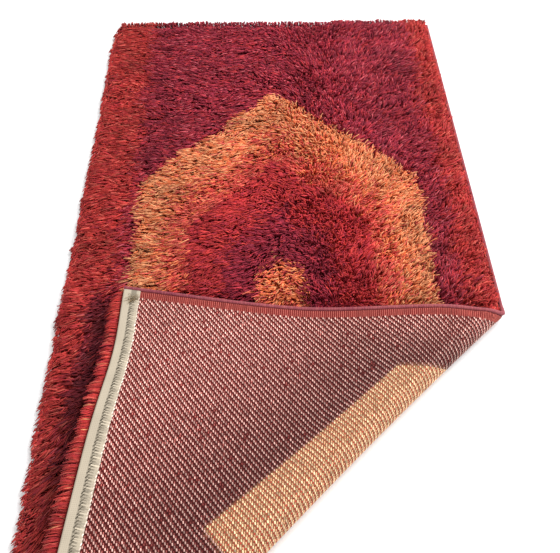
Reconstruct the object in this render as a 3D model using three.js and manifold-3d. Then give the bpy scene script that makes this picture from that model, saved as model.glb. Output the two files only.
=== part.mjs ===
// A shag wool rug lying on a floor, its near right corner folded over so that the woven back shows.
// Millimetres. X runs across the rug, +Y along it away from the folded corner, +Z up.
// The origin is on the floor, at the middle of the rug's underside as it was before the corner was folded.
// Each piece is first described on the flat rug, by x, y and the height above the woven back, then folded.
import * as THREE from "three";
import Module from "manifold-3d";

const wasm = await Module();
wasm.setup();

const { lerp, clamp, smoothstep, degToRad } = THREE.MathUtils;

// The cloth, laid flat, without its overcast edges
const WIDTH = 686;
const LENGTH = 1400;
const HALF_WIDTH = WIDTH / 2;
const HALF_LENGTH = LENGTH / 2;

// The gap that keeps two pieces apart
const GAP = 0.3;

// The fold: its axis leaves the right edge at FOLD_START and turns FOLD_ANGLE away from the cloth's width
const FOLD_START = -59;
const FOLD_ANGLE = degToRad(47.6);
const FOLD_RADIUS = 24;
const NEUTRAL_DEPTH = 2;
const BEND_STEPS = 10;
const BEND_LENGTH = Math.PI * (FOLD_RADIUS - NEUTRAL_DEPTH);

// Springy pile lifts the turned layer. The share runs along its free right edge, from the fold to the corner
const LIFTS = [
  { share: 0, lift: 23 },
  { share: 0.25, lift: 23 },
  { share: 0.6, lift: 1 },
  { share: 0.9, lift: 4 },
  { share: 1, lift: 4 },
];
const LIFT_REACH = 60;

// The same edge bows toward the near end, most at its middle
const BOW = 19;
const BOW_REACH = 260;

// The pile, as heights above the woven back: free, pressed between two layers, in the bend and at the rims
const PILE_HEIGHT = 26;
const LUMP_HEIGHT = 3.5;
const LAYER_GAP = 3;
const PRESSED_HEIGHT = FOLD_RADIUS - LAYER_GAP / 2;
const BEND_HEIGHT = 20.5;
const BEND_REACH = 40;
const RIM_HEIGHT = 16;
const OPEN_RIM_HEIGHT = 11;
const RIM_REACH = 28;
const COVER_MARGIN = 30;

// Lumps of the pile: waves over the cloth, as radians per millimetre across and along it
const LUMPS = [
  { across: 0.058, along: 0.019, phase: 0.4, share: 0.34 },
  { across: -0.031, along: 0.052, phase: 2.1, share: 0.31 },
  { across: 0.047, along: -0.044, phase: 4.4, share: 0.2 },
  { across: 0.013, along: 0.024, phase: 1.3, share: 0.15 },
];

// Cells of the cloth's surfaces, in lines along and across the fold
const CELL = 30;
const SPAN = 2 * LENGTH;

// Overcast yarn along the long edges
const ROLL_HEIGHT = 6.6;
const ROLL_SIDES = 8;

// Cotton tape on the back of both ends, in a shallow seat that runs in to SEAT_END
const TAPE_THICKNESS = 1.2;
const TAPE_INSET = 1;
const TAPE_WIDTH = 26;
const SEAT_END = HALF_LENGTH - TAPE_WIDTH - 2 * TAPE_INSET;
const SEAT_RAMP = 12;

// Locks of pile past the rims, each three-sided, from its root to its tip
const LOCK_RADIUS = 4;
const LOCK_SECTIONS = [
  { share: 0, thickness: 1 },
  { share: 0.5, thickness: 0.8 },
  { share: 1, thickness: 0.2 },
];
const LOCK_CORNERS = [90, 210, 330].map(degToRad);

// How unevenly they stand, as shares of their pitch and of their sag
const LOCK_SHIFT = 0.12;
const LOCK_LEAN = 0.45;
const SAG_SPREAD = 0.25;

// The narrow strips that hold them: depth out of the cloth, and each row's count, heights, reach and sag
const STRIP_DEPTH = 2.5;
const LOCK_ROWS = [
  { name: "pile_locks_left", edge: "left", count: 90, low: 7.6, high: 14, reach: 15, spread: 3, sag: 6 },
  { name: "pile_locks_near", edge: "near", count: 60, low: 5, high: 13, reach: 24, spread: 4, sag: 8 },
  { name: "pile_locks_far", edge: "far", count: 50, low: 5, high: 13, reach: 22, spread: 4, sag: 6 },
];

const MATERIALS = {
  wool: { color: 0x93281f, roughness: 0.95, metalness: 0 },
  overcast: { color: 0x7d4a58, roughness: 0.85, metalness: 0 },
  tape: { color: 0xe9dfc9, roughness: 0.9, metalness: 0 },
};

// Toward the turned corner, and along the fold's axis toward the near left
const toCorner = new THREE.Vector2(Math.cos(FOLD_ANGLE), -Math.sin(FOLD_ANGLE));
const alongFold = new THREE.Vector2(-Math.sin(FOLD_ANGLE), -Math.cos(FOLD_ANGLE));

// A flat point's distance past the fold's axis and its place along that axis
function foldPlace(x, y) {
  const offset = new THREE.Vector2(x - HALF_WIDTH, y - FOLD_START);
  return { past: offset.dot(toCorner), along: offset.dot(alongFold) };
}

function flatPoint(past, along) {
  return {
    x: HALF_WIDTH + past * toCorner.x + along * alongFold.x,
    y: FOLD_START + past * toCorner.y + along * alongFold.y,
  };
}

// Where a point of the bend goes, across the fold's axis and up, on the arc of the given step
function arcPoint(step, height) {
  const angle = (Math.PI * step) / BEND_STEPS;
  const radius = FOLD_RADIUS - height;
  return { out: radius * Math.sin(angle), up: FOLD_RADIUS - radius * Math.cos(angle) };
}

// The fold's section: flat cloth, then BEND_STEPS flat facets, then the layer that lies upside down
function foldSection(past, height) {
  if (past <= 0) return { out: past, up: height };
  if (past >= BEND_LENGTH) return { out: BEND_LENGTH - past, up: 2 * FOLD_RADIUS - height };
  const step = (past / BEND_LENGTH) * BEND_STEPS;
  const from = arcPoint(Math.floor(step), height);
  const to = arcPoint(Math.floor(step) + 1, height);
  const part = step - Math.floor(step);
  return { out: lerp(from.out, to.out, part), up: lerp(from.up, to.up, part) };
}

// How far along the turned layer's free edge a flat y lies, from the fold (0) to the corner (1)
function edgeShare(y) {
  return clamp((FOLD_START - y) / (FOLD_START + HALF_LENGTH), 0, 1);
}

function liftAt(y) {
  const share = edgeShare(y);
  const next = Math.max(1, LIFTS.findIndex((row) => row.share >= share));
  const from = LIFTS[next - 1];
  const to = LIFTS[next];
  return lerp(from.lift, to.lift, smoothstep(share, from.share, to.share));
}

function bowAt(x, y) {
  const fromEdge = (HALF_WIDTH - x) / BOW_REACH;
  return BOW * Math.sin(Math.PI * edgeShare(y)) * Math.exp(-fromEdge * fromEdge);
}

// A point of the flat rug, where it lies in the folded one
function folded(x, y, height) {
  const { past, along } = foldPlace(x, y);
  const { out, up } = foldSection(past, height);
  const place = flatPoint(out, along);
  const free = clamp((past - BEND_LENGTH) / LIFT_REACH, 0, 1);
  return new THREE.Vector3(place.x, place.y - free * bowAt(x, y), up + free * liftAt(y));
}

// Distance inside the cloth's rim, less than zero outside it
function insideRim(x, y) {
  return Math.min(HALF_WIDTH - Math.abs(x), HALF_LENGTH - Math.abs(y));
}

function freeHeight(x, y) {
  const lump = LUMPS.reduce(
    (sum, wave) => sum + wave.share * Math.sin(wave.across * x + wave.along * y + wave.phase),
    0,
  );
  const inner = clamp(insideRim(x, y) / RIM_REACH, 0, 1);
  const openRim = clamp((HALF_WIDTH - x) / RIM_REACH, 0, 1);
  const rim = lerp(OPEN_RIM_HEIGHT, RIM_HEIGHT, openRim);
  return lerp(rim, PILE_HEIGHT + LUMP_HEIGHT * lump, inner);
}

// The flat point that comes to lie over a point of the lower layer
function coveringPoint(past, along) {
  return flatPoint(BEND_LENGTH - past, along);
}

// Height of the pile: free, or pressed where two layers lie on each other and in the bend between them
function pileHeight(x, y) {
  const { past, along } = foldPlace(x, y);
  const free = freeHeight(x, y);
  const over = past < 0 ? coveringPoint(past, along) : { x, y };
  const covered = past < 0 ? smoothstep(insideRim(over.x, over.y), -COVER_MARGIN / 2, COVER_MARGIN) : 1;
  const pressed = Math.min(free, PRESSED_HEIGHT + liftAt(over.y) / 2);
  const fromBend = Math.max(-past, past - BEND_LENGTH, 0);
  const height = lerp(free, pressed, covered);
  return lerp(Math.min(height, BEND_HEIGHT), height, clamp(fromBend / BEND_REACH, 0, 1));
}

// The woven back steps in over the tapes
function backHeight(x, y) {
  return (TAPE_THICKNESS + GAP) * clamp(1 - (SEAT_END - Math.abs(y)) / SEAT_RAMP, 0, 1);
}

// Lines that part the cloth past the fold: the lower layer, the bend's facets and the turned layer
function foldLines(lowerCell, turnedCell = CELL) {
  const lines = [];
  for (let past = lowerCell; past < SPAN; past += lowerCell) lines.unshift(-past);
  for (let step = 0; step < BEND_STEPS; step += 1) lines.push((step * BEND_LENGTH) / BEND_STEPS);
  for (let past = BEND_LENGTH; past < SPAN; past += turnedCell) lines.push(past);
  return lines;
}

// The part of a polygon on one side of a line: axis is x or y, sign 1 keeps what lies over the limit
function clipped(polygon, axis, limit, sign) {
  const kept = [];
  polygon.forEach((point, i) => {
    const next = polygon[(i + 1) % polygon.length];
    const here = sign * (point[axis] - limit);
    const there = sign * (next[axis] - limit);
    if (here >= 0) kept.push(point);
    if (here * there < 0) {
      const part = here / (here - there);
      kept.push({ x: lerp(point.x, next.x, part), y: lerp(point.y, next.y, part) });
    }
  });
  return kept;
}

// Flat polygons that fill the area between the first and last of xs and ys, parted at their other values and
// at the fold's lines
function cellPolygons({ xs, ys, lowerCell = CELL, alongCell = CELL }) {
  const polygons = [];
  const lines = foldLines(lowerCell);
  for (let i = 0; i + 1 < lines.length; i += 1) {
    for (let along = -SPAN; along < SPAN; along += alongCell) {
      const cell = [
        flatPoint(lines[i], along),
        flatPoint(lines[i], along + alongCell),
        flatPoint(lines[i + 1], along + alongCell),
        flatPoint(lines[i + 1], along),
      ];
      polygons.push(...cutCell(cell, xs, ys));
    }
  }
  return polygons;
}

function cutCell(cell, xs, ys) {
  const pieces = [];
  for (let i = 0; i + 1 < xs.length; i += 1) {
    const column = clipped(clipped(cell, "x", xs[i], 1), "x", xs[i + 1], -1);
    if (column.length < 3) continue;
    for (let j = 0; j + 1 < ys.length; j += 1) {
      const piece = clipped(clipped(column, "y", ys[j], 1), "y", ys[j + 1], -1);
      if (piece.length > 2) pieces.push(piece);
    }
  }
  return pieces;
}

// A closed layer over those polygons, from the height bottom(x, y) to top(x, y), folded
function layerGeometry({ bottom, top, ...area }) {
  const corners = new Map();
  const indexOf = ({ x, y }) => {
    const key = `${Math.round(x * 1e3)},${Math.round(y * 1e3)}`;
    if (!corners.has(key)) corners.set(key, { index: corners.size, x, y });
    return corners.get(key).index;
  };
  const rings = cellPolygons(area)
    .map((polygon) => polygon.map(indexOf).filter((index, i, ring) => index !== ring[(i + 1) % ring.length]))
    .filter((ring) => ring.length > 2);
  const edges = new Set(rings.flatMap((ring) => ring.map((a, i) => `${a},${ring[(i + 1) % ring.length]}`)));
  const flat = [...corners.values()];
  const points = [
    ...flat.map(({ x, y }) => folded(x, y, bottom(x, y))),
    ...flat.map(({ x, y }) => folded(x, y, top(x, y))),
  ];
  const upper = (index) => index + corners.size;
  const triangles = [];
  for (const ring of rings) {
    for (let i = 1; i + 1 < ring.length; i += 1) {
      triangles.push(upper(ring[0]), upper(ring[i]), upper(ring[i + 1]));
      triangles.push(ring[0], ring[i + 1], ring[i]);
    }
    ring.forEach((a, i) => {
      const b = ring[(i + 1) % ring.length];
      if (!edges.has(`${b},${a}`)) triangles.push(...sidePair(points, a, b, upper(b), upper(a)));
    });
  }
  return indexedGeometry(points, triangles);
}

// Two triangles for a side of four corners, counter-clockwise from outside. A side that goes round the bend
// is twisted, so it takes the diagonal that leaves the solid smaller and its neighbours clear
function sidePair(points, a, b, c, d) {
  const [toB, toC, toD] = [b, c, d].map((index) => points[index].clone().sub(points[a]));
  const twist = toB.cross(toC).dot(toD);
  return twist > 0 ? [a, b, c, a, c, d] : [a, b, d, b, c, d];
}

function indexedGeometry(points, triangles) {
  return new THREE.BufferGeometry().setFromPoints(points).setIndex(triangles);
}

// A closed tube through rings of points, each ring counter-clockwise as seen from the end toward the start
function ringGeometry(rings) {
  const sides = rings[0].length;
  const points = rings.flat();
  const triangles = [];
  for (let k = 0; k + 1 < rings.length; k += 1) {
    for (let i = 0; i < sides; i += 1) {
      const a = k * sides + i;
      const b = k * sides + ((i + 1) % sides);
      triangles.push(...sidePair(points, a, b, b + sides, a + sides));
    }
  }
  const last = (rings.length - 1) * sides;
  for (let i = 1; i + 1 < sides; i += 1) {
    triangles.push(0, i + 1, i);
    triangles.push(last, last + i, last + i + 1);
  }
  return indexedGeometry(points, triangles);
}

// The overcast roll of one long edge, side -1 or 1, with a ring of points at each of the fold's lines
function rollGeometry(side) {
  const radius = ROLL_HEIGHT / 2;
  const centre = side * (HALF_WIDTH + GAP + radius);
  const end = HALF_LENGTH - GAP;
  const clearance = radius + GAP;
  const isInside = (past) => {
    const y = yOnLine(centre, past);
    return past >= 0 && y > -end + clearance && y < end - clearance;
  };
  const stations = foldLines(SPAN / 2, CELL / 2).filter(isInside);
  const rings = [
    rollRing(centre, radius, () => end),
    ...stations.map((past) => rollRing(centre, radius, (x) => yOnLine(x, past))),
    rollRing(centre, radius, () => -end),
  ];
  return ringGeometry(rings);
}

// The flat y at which a line at the given distance past the fold's axis meets x
function yOnLine(x, past) {
  return FOLD_START + (past - (x - HALF_WIDTH) * toCorner.x) / toCorner.y;
}

function rollRing(centre, radius, yAt) {
  const ring = [];
  const cornerRadius = radius / Math.cos(Math.PI / ROLL_SIDES);
  for (let i = 0; i < ROLL_SIDES; i += 1) {
    const angle = ((i + 0.5) * 2 * Math.PI) / ROLL_SIDES;
    const x = centre + cornerRadius * Math.cos(angle);
    ring.push(folded(x, yAt(x), radius + cornerRadius * Math.sin(angle)));
  }
  return ring;
}

// The same uneven number between -1 and 1 for the same index and kind
const UNEVEN = { index: 12.9898, kind: 78.233, scale: 43758.5453 };

function uneven(index, kind) {
  const spread = Math.sin(index * UNEVEN.index + kind * UNEVEN.kind) * UNEVEN.scale;
  return 2 * (spread - Math.floor(spread)) - 1;
}

// The strip along each edge, the way out of the cloth and the way along it, and how far out its locks start
const EDGES = {
  left: {
    xs: [-HALF_WIDTH - GAP - STRIP_DEPTH, -HALF_WIDTH - GAP],
    ys: [-HALF_LENGTH + GAP, HALF_LENGTH - GAP],
    out: new THREE.Vector2(-1, 0),
    run: new THREE.Vector2(0, -1),
    root: HALF_WIDTH + GAP + STRIP_DEPTH / 2,
    length: LENGTH,
  },
  near: {
    xs: [-HALF_WIDTH, HALF_WIDTH],
    ys: [-HALF_LENGTH - GAP - STRIP_DEPTH, -HALF_LENGTH - GAP],
    out: new THREE.Vector2(0, -1),
    run: new THREE.Vector2(1, 0),
    root: HALF_LENGTH + GAP + STRIP_DEPTH / 2,
    length: WIDTH,
  },
  far: {
    xs: [-HALF_WIDTH, HALF_WIDTH],
    ys: [HALF_LENGTH + GAP, HALF_LENGTH + GAP + STRIP_DEPTH],
    out: new THREE.Vector2(0, 1),
    run: new THREE.Vector2(-1, 0),
    root: HALF_LENGTH + GAP + STRIP_DEPTH / 2,
    length: WIDTH,
  },
};

function solidOf(geometry) {
  const vertProperties = new Float32Array(geometry.getAttribute("position").array);
  const triVerts = new Uint32Array(geometry.index.array);
  return new wasm.Manifold(new wasm.Mesh({ numProp: 3, vertProperties, triVerts }));
}

function geometryOf(solid) {
  const { vertProperties, triVerts } = solid.getMesh();
  return new THREE.BufferGeometry()
    .setAttribute("position", new THREE.BufferAttribute(vertProperties, 3))
    .setIndex(new THREE.BufferAttribute(triVerts, 1));
}

// A lock that starts inside its strip, leans a little along it, and sags under its weight
function lockGeometry(row, edge, index) {
  const pitch = edge.length / row.count;
  const start = (index + 0.5 - row.count / 2 + LOCK_SHIFT * uneven(index, 1)) * pitch;
  const reach = row.reach + row.spread * uneven(index, 2);
  const lean = pitch * LOCK_LEAN * uneven(index, 3);
  const sag = row.sag * (1 + SAG_SPREAD * uneven(index, 4));
  const rootHeight = (row.low + row.high - LOCK_RADIUS / 2) / 2;
  const ringAt = ({ share, thickness }) =>
    LOCK_CORNERS.map((angle) => {
      const along = start + share * share * lean + LOCK_RADIUS * thickness * Math.cos(angle);
      const out = edge.root + share * reach;
      const x = edge.out.x * out + edge.run.x * along;
      const y = edge.out.y * out + edge.run.y * along;
      const height = rootHeight + LOCK_RADIUS * thickness * Math.sin(angle);
      const down = Math.cos(Math.PI * clamp(foldPlace(x, y).past / BEND_LENGTH, 0, 1));
      return folded(x, y, height - share * share * sag * down);
    });
  return ringGeometry(LOCK_SECTIONS.map(ringAt));
}

function locksGeometry(row) {
  const edge = EDGES[row.edge];
  const strip = layerGeometry({
    xs: edge.xs,
    ys: edge.ys,
    lowerCell: SPAN / 2,
    alongCell: SPAN,
    bottom: () => row.low,
    top: () => row.high,
  });
  let joined = solidOf(strip);
  for (let index = 0; index < row.count; index += 1) {
    joined = joined.add(solidOf(lockGeometry(row, edge, index)));
  }
  return geometryOf(joined);
}

function bodyGeometry() {
  return layerGeometry({
    xs: [-HALF_WIDTH, -HALF_WIDTH + RIM_REACH, HALF_WIDTH - RIM_REACH, HALF_WIDTH],
    ys: [-HALF_LENGTH, -SEAT_END, -SEAT_END + SEAT_RAMP, SEAT_END - SEAT_RAMP, SEAT_END, HALF_LENGTH],
    bottom: backHeight,
    top: pileHeight,
  });
}

// The tape of one end, side -1 near or 1 far
function tapeGeometry(side) {
  const ys = [side * (HALF_LENGTH - TAPE_INSET), side * (HALF_LENGTH - TAPE_INSET - TAPE_WIDTH)];
  return layerGeometry({
    xs: [-HALF_WIDTH, HALF_WIDTH],
    ys: ys.sort((a, b) => a - b),
    bottom: () => 0,
    top: () => TAPE_THICKNESS,
  });
}

const group = new THREE.Group();

function addPiece(name, geometry, material) {
  geometry.computeVertexNormals();
  const mesh = new THREE.Mesh(geometry, new THREE.MeshStandardMaterial(MATERIALS[material]));
  mesh.name = name;
  group.add(mesh);
}

addPiece("rug_body", bodyGeometry(), "wool");
addPiece("edge_binding_left", rollGeometry(-1), "overcast");
addPiece("edge_binding_right", rollGeometry(1), "overcast");
addPiece("end_tape_near", tapeGeometry(-1), "tape");
addPiece("end_tape_far", tapeGeometry(1), "tape");
for (const row of LOCK_ROWS) addPiece(row.name, locksGeometry(row), "wool");

export default group;
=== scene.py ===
# A shag wool rug on a pale floor, its near right corner folded over so that the woven back shows.
# Every piece is laid out on the flat rug, as x across, y along and w above the woven back, and then folded.
import math

import bpy
import numpy as np
from mathutils import Matrix, Vector


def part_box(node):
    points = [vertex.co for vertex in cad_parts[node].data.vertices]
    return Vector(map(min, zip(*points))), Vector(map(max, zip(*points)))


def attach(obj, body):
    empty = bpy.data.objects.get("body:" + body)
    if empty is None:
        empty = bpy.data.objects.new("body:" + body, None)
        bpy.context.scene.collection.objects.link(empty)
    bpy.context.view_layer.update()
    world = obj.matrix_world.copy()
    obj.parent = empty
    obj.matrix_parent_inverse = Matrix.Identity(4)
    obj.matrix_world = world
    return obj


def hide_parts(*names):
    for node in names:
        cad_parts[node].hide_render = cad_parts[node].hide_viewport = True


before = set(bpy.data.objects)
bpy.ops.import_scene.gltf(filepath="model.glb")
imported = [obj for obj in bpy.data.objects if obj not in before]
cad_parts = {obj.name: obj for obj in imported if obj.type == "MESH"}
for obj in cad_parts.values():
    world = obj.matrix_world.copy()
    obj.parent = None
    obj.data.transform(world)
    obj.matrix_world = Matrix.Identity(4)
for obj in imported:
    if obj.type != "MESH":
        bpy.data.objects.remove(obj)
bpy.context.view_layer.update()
MM = 0.001

# The cloth, laid flat: its width and length from the far tape, and how far out the overcasting reaches
FAR_TAPE_LOW, FAR_TAPE_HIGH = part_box("end_tape_far")
TAPE_INSET = 1 * MM
HALF_WIDTH = FAR_TAPE_HIGH[0]
HALF_LENGTH = FAR_TAPE_HIGH[1] + TAPE_INSET
TAPE_WIDTH = FAR_TAPE_HIGH[1] - FAR_TAPE_LOW[1]
TAPE_THICKNESS = FAR_TAPE_HIGH[2] - FAR_TAPE_LOW[2]
ROLL_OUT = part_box("edge_binding_right")[1][0]

# The woven ground: its thickness, the step of its mesh, and how light its pile side is, in painted light
GROUND_THICKNESS = 2.5 * MM
GROUND_STEP = 8.5 * MM
# Painted light: the pile side is lighter than its yarns, to ease the shade among the strands' roots
PILE_SIDE_PAINTED_LIGHT = 1.1

# The fold, as the construction has it
FOLD_START = -59 * MM
FOLD_ANGLE = math.radians(47.6)
FOLD_RADIUS = 24 * MM
NEUTRAL_DEPTH = 2 * MM
BEND_LENGTH = math.pi * (FOLD_RADIUS - NEUTRAL_DEPTH)
TO_CORNER = np.array([math.cos(FOLD_ANGLE), -math.sin(FOLD_ANGLE)])
ALONG_FOLD = np.array([-math.sin(FOLD_ANGLE), -math.cos(FOLD_ANGLE)])
LIFTS = {"share": (0, 0.25, 0.6, 0.9, 1), "lift": (23 * MM, 23 * MM, 1 * MM, 4 * MM, 4 * MM)}
LIFT_REACH = 60 * MM
BOW = 19 * MM
BOW_REACH = 260 * MM

# What the cloth does within the construction's margins: its crease is pressed flatter in the middle, and
# the turned end waves sideways a little
CREASE_PRESS = 0.2
CREASE_LENGTH = 570 * MM
WAVE = {"shift": 8 * MM, "from_tip": 105 * MM, "width": 85 * MM, "depth": 130 * MM}

# The dip beside the turned end: between which places, out from that end, it deepens and ends, and how it
# fades past the end's tip
DIP_DEEPENS = (2 * MM, 20 * MM)
DIP_ENDS = (32 * MM, 62 * MM)
DIP_PAST_TIP = (-34 * MM, 6 * MM)

# The camera stands over the near end, at the photograph's angle
CAMERA_PLACE = Vector((-0.0271, -0.6369, 0.8853))
CAMERA_PITCH = math.radians(54.09)
CAMERA_YAW = math.radians(1.96)
CAMERA_ROLL = math.radians(0.56)
CAMERA_LENS = 42.43
CAMERA_SENSOR = 36

# The studio: square lamps, with their sides in metres and their power in watts, an even white sky, and a
# pale floor a little below the rug
LAMPS = {
    "key": {"place": (1.8, 1.0, 2.4), "side": 1.7, "power": 104},
    "fill": {"place": (-1.2, -1.6, 2.6), "side": 2.4, "power": 18},
}
SKY_COLOUR = (1, 1, 1, 1)
SKY_STRENGTH = 0.7
FLOOR_REACH = 6.0
FLOOR_DEPTH = 0.3 * MM
FLOOR_ROUGHNESS = 0.9
FLOOR_COLOUR = (0.93, 0.93, 0.93, 1)

# Yarn colours as the eye sees them
YARNS = {
    "gold": (0.95, 0.64, 0.45),
    "amber": (0.92, 0.50, 0.31),
    "coral": (0.88, 0.39, 0.34),
    "red": (0.80, 0.25, 0.23),
    "rose": (0.82, 0.36, 0.40),
    "crimson": (0.76, 0.22, 0.24),
    "wine": (0.70, 0.20, 0.26),
    "plum": (0.60, 0.17, 0.25),
    "burgundy": (0.54, 0.15, 0.22),
    "cream": (0.97, 0.89, 0.83),
    "straw": (0.93, 0.81, 0.65),
    "mauve": (0.66, 0.34, 0.35),
    "grape": (0.49, 0.19, 0.26),
    "taupe": (0.36, 0.33, 0.28),
    "thread": (0.74, 0.69, 0.61),
    "fray": (0.60, 0.52, 0.40),
}
YARN_NAMES = list(YARNS)

# What each material is like: its roughness and sheen, the size and strength of its flecks, and the strength
# of its relief. The rest is the same for all
MATERIAL_ROWS = {
    "pile_wool": {"roughness": 0.75, "sheen": 0.0, "fleck_size": 2 * MM, "fleck": 0.2, "relief": 0.4},
    "ground_wool": {"roughness": 0.9, "sheen": 0.0, "fleck_size": 1.5 * MM, "fleck": 0.3, "relief": 0.6},
    "knot_wool": {"roughness": 0.85, "sheen": 0.0, "fleck_size": 1.2 * MM, "fleck": 0.2, "relief": 0.5},
    "overcast_yarn": {"roughness": 0.8, "sheen": 0.1, "fleck_size": 1.5 * MM, "fleck": 0.25, "relief": 0.5},
    "tape_cotton": {"roughness": 0.9, "sheen": 0.0, "fleck_size": 0.8 * MM, "fleck": 0.06, "relief": 0.5},
    "woven_cotton": {"roughness": 0.9, "sheen": 0.0, "fleck_size": 0.8 * MM, "fleck": 0.06, "relief": 0.3},
}
SPECULAR = 0.25
SHEEN_ROUGHNESS = 0.5
FLECK_DETAIL = 3
FLECK_RANGE = (0.3, 0.7)
RELIEF_DEPTH = 0.3 * MM

# The tape's plain weave: its pitch, how light its gaps are in painted shade, and where a gap starts. A wave
# texture turns by that many radians over one metre at a scale of one
WEAVE_PITCH = 2.4 * MM
WEAVE_PAINTED_SHADE = 0.75
WEAVE_GAP_START = 0.3
WAVE_RADIANS = 20

# The medallion: nested six-sided rings, from the core outward. Each ring has its outer edge, how softly it
# blends into the next, and its yarns with their shares
MEDALLION_CENTRE = -0.04
MEDALLION_HALF_WIDTH = 0.242
MEDALLION_HALF_LENGTH = 0.49
RINGS = [
    {"edge": 0.15, "blend": 0.02, "yarns": {"amber": 0.5, "gold": 0.2, "coral": 0.3}},
    {"edge": 0.34, "blend": 0.05, "yarns": {"burgundy": 0.3, "plum": 0.35, "wine": 0.35}},
    {"edge": 0.6, "blend": 0.0, "yarns": {"crimson": 0.5, "wine": 0.2, "red": 0.3}},
    {"edge": 0.72, "blend": 0.05, "yarns": {"coral": 0.6, "red": 0.3, "amber": 0.1}},
    {"edge": 0.8, "blend": 0.05, "yarns": {"amber": 0.5, "coral": 0.3, "gold": 0.2}},
    {"edge": 1.0, "blend": 0.0, "yarns": {"gold": 0.6, "amber": 0.28, "coral": 0.12}},
]

# The field round it, from the plum halo out to the red edges
FIELD = [
    {"halo": 0.62, "yarns": {"plum": 0.34, "wine": 0.32, "burgundy": 0.14, "rose": 0.1, "crimson": 0.1}},
    {"halo": 0.3, "yarns": {"wine": 0.4, "crimson": 0.32, "plum": 0.18, "rose": 0.1}},
    {"halo": -9.0, "yarns": {"red": 0.58, "crimson": 0.28, "coral": 0.14}},
]

# The halo: where it fades across the rug, further out on the right and drawn in on the near left, where it
# fades at the near end, on a slant, how much it strays from knot to knot, and what the dip adds
HALO = {
    "fades": (0.2, 0.29),
    "right": 0.03,
    "left": 0.04,
    "left_draws_in": (0.2, 0.5),
    "near_end": (-0.66, -0.42),
    "slant": 0.25,
    "stir": 0.1,
    # The dip draws in plum yarn, which also serves as part of the painted shadow beside the turned end
    "dip": 0.55,
    "dip_fades": (0.2, 0.42),
}

# Smooth variation over the rug: how strong it is, how wide its lumps are, and its seed. It repeats after
# that many cells
NOISE_CELLS = 64
DRIFTS = {
    "halo": {"amount": 0.16, "cell": 45 * MM, "seed": 3},
    "rings": {"amount": 0.7, "cell": 30 * MM, "seed": 5},
    "lean_across": {"amount": 0.36, "cell": 34 * MM, "seed": 21},
    "lean_along": {"amount": 0.36, "cell": 34 * MM, "seed": 22},
    "rise_wide": {"amount": 0.08, "cell": 55 * MM, "seed": 23},
    "rise_fine": {"amount": 0.11, "cell": 17 * MM, "seed": 24},
    "overcast": {"amount": 0.5, "cell": 90 * MM, "seed": 29},
    "tone_wide": {"amount": 0.1, "cell": 60 * MM, "seed": 31},
    "tone_fine": {"amount": 0.14, "cell": 21 * MM, "seed": 32},
    "tape": {"amount": 0.05, "cell": 12 * MM, "seed": 41},
}

# The pile's clumps: their size, how each finds its own numbers in a table, and what its strands have in
# common, with how strong that is and its seed
CLUMP = 7 * MM
CLUMP_TABLE = 8192
CLUMP_STRIDES = (733, 1933)
CLUMP_DRAWS = {
    "centre_across": {"amount": 0.35, "seed": 1000},
    "centre_along": {"amount": 0.35, "seed": 1001},
    "lean_across": {"amount": 0.3, "seed": 1002},
    "lean_along": {"amount": 0.3, "seed": 1003},
    "length": {"amount": 0.08, "seed": 1004},
    "tone": {"amount": 0.1, "seed": 1005},
}

# How far strands differ from each other, with limits for the radius, in spreads
STRAND_SPREAD = {"lean": 0.2, "length": 0.07, "sway": 1.2 * MM, "radius": 0.15, "tone": 0.12}
SPREAD_LIMITS = (-2, 2)

# The seeds of each piece's own draws
SEEDS = {"ground": 11, "pile": 7, "knots": 17, "ribs": 19, "overcast": 23, "stitches": 43, "fray": 47}

# A strand: its root, a ring of three at its bend, and a ring of three at its blunt tip. Listed are the
# corners of its faces, its points' painted shade, and the shortest reach that gives it a direction
STRAND_LOOPS = [0, 2, 1, 0, 3, 2, 0, 1, 3, 1, 2, 5, 4, 2, 3, 6, 5, 3, 1, 4, 6, 4, 5, 6]
STRAND_SIZES = [3, 3, 3, 4, 4, 4, 3]
# Painted shade: a strand is darker at its root and lighter at its tip, for the shade deep in the pile
STRAND_PAINTED_SHADE = [0.9] + [0.96] * 3 + [1.04] * 3
STRAND_SIDES = 3
TIP_THICKNESS = 0.6
SHORTEST_REACH = 0.001 * MM

# The pile: its strands' pitch, radius, height and reach outward, the height of their roots inside the
# ground, and how far a root strays from its place as a share of the pitch
STRAND_PITCH = 3.08 * MM
STRAND_RADIUS = 1.18 * MM
PILE_RISE = 22.5 * MM
PILE_OUT = 16 * MM
ROOT_HEIGHT = 0.8 * GROUND_THICKNESS
ROOT_JITTER = 0.42

# Extra strands along the left rim and both ends, for each row of the pile, and how far in their roots are
RIM_STRANDS = 4
RIM_ROOTS = (0.5 * MM, 11 * MM)

# How far under the turned layer, and how far in from its rim, strands are still seen
SEEN_UNDER = 45 * MM
SEEN_TURNED = 32 * MM

# Where strands begin to belong to a rim, at a side or an end, and where they belong to it fully
SIDE_RIM = 26 * MM
END_RIM = 30 * MM
FULL_RIM = 2 * MM

# The way the pile is trodden, across and along the rug, as shares of its reach outward, and where it turns.
# The ends take away most of its lean across, and the rims most of what varies
LEANS = {
    "most": {"across": -0.85, "along": -0.6},
    "near": {"along": -1.1},
    "right": {"across": 0.5, "along": 0.2},
    "right_rim": {"across": -0.1},
    "left_rim": {"across": -1.0, "along": -0.45},
    "near_rim": {"along": -1.3},
    "far_rim": {"along": 1.05},
}
LEAN_TURNS_RIGHT = (-0.08, 0.2)
LEAN_TURNS_NEAR = (0.1, 0.45)
ENDS_STRAIGHTEN = 0.8
RIMS_STEADY = 0.6

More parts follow.
